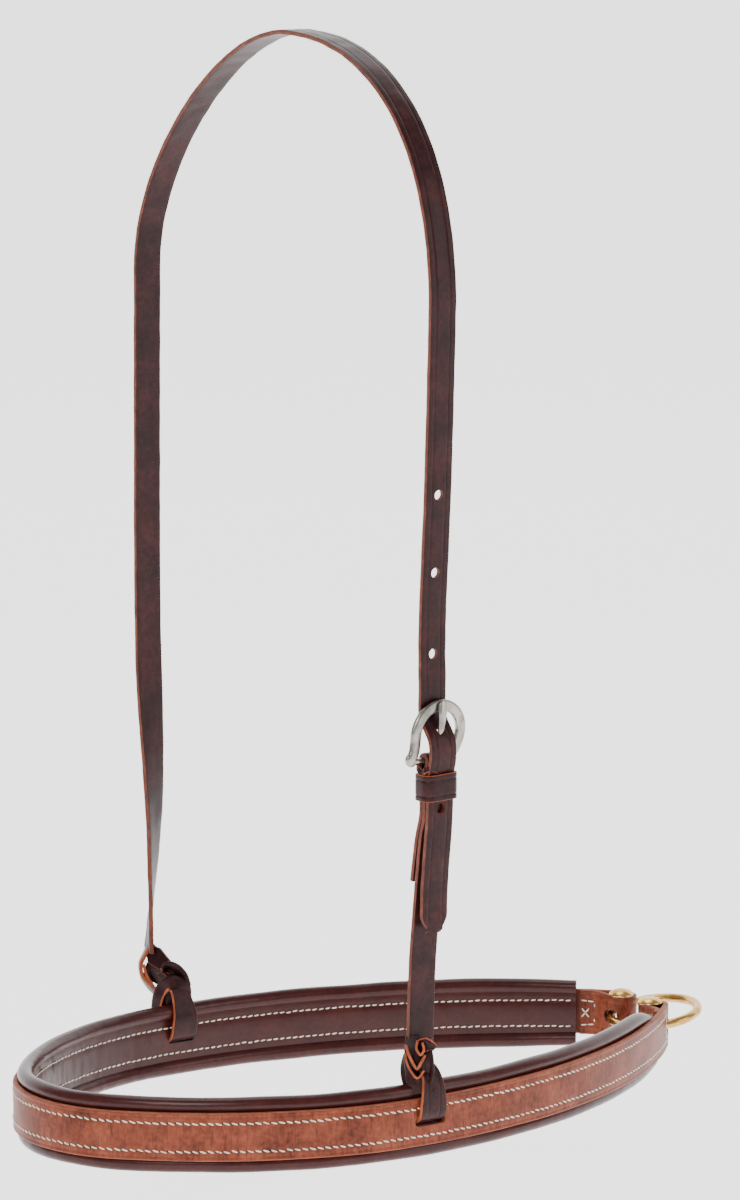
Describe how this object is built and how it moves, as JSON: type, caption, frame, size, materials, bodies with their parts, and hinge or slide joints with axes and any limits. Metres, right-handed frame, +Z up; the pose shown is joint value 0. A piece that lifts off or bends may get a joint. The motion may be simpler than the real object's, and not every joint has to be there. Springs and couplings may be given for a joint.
{
  "type": "bitless hackamore",
  "caption": "Bitless hackamore: padded leather noseband hung by tied ends of one buckled headstall strap, closed under the chin by a ring on two posts.",
  "frame": {"origin": "Underside of the crown strap at the top of its arch, midway across its width, where the hackamore hangs.", "axes": "+X runs from the nose to the chin ring, +Y points to the plain side away from the buckle, and +Z is up."},
  "size_m": [0.4332, 0.2762, 0.5708],
  "materials": {
    "latigo": "oiled latigo leather, satin, with tooled edge lines",
    "raw_edge": "raw cut leather edge",
    "harness_leather": "russet harness leather with fine grain, satin",
    "liner_leather": "soft chrome-tanned leather, slightly glossy",
    "thread": "waxed off-white thread",
    "brass": "satin brass",
    "steel": "tumbled satin stainless steel"
  },
  "bodies": {
    "headstall": {"crown_strap": "latigo", "cheek_strap": "latigo", "cheek_lace": "raw_edge"},
    "buckle": {"buckle_frame": "steel"},
    "tongue": {"buckle_tongue": "steel"},
    "strap_keeper": {"keeper": "latigo"},
    "noseband": {"noseband_strap": "harness_leather", "noseband_liner": "liner_leather", "stitching_top": "thread", "stitching_bottom": "thread", "end_stitching_near": "thread", "end_stitching_far": "thread", "chin_post_near": "brass", "chin_post_far": "brass", "chin_cap_near": "brass", "chin_cap_far": "brass", "near_tie": "latigo", "far_tie": "latigo"},
    "ring": {"chin_ring": "brass"}
  },
  "joints": [
    {"name": "buckle_tilt", "type": "hinge", "parent": "headstall", "child": "buckle", "pos_m": [0, -0.121, -0.3605], "axis": [1, 0, 0], "range_deg": [0, 3]},
    {"name": "tongue_tilt", "type": "hinge", "parent": "buckle", "child": "tongue", "pos_m": [0, -0.121, -0.3605], "axis": [1, 0, 0], "range_deg": [0, 2.5]},
    {"name": "keeper_slide", "type": "slide", "parent": "headstall", "child": "strap_keeper", "axis": [0, 0, 1], "range_m": [-0.007, 0]},
    {"name": "noseband_swing", "type": "hinge", "parent": "headstall", "child": "noseband", "pos_m": [0, 0, -0.505], "axis": [0, 1, 0], "range_deg": [-22, 22]},
    {"name": "ring_swing", "type": "hinge", "parent": "noseband", "child": "ring", "pos_m": [0.227, 0, -0.549], "axis": [0, 1, 0], "range_deg": [-3, 20]}
  ]
}
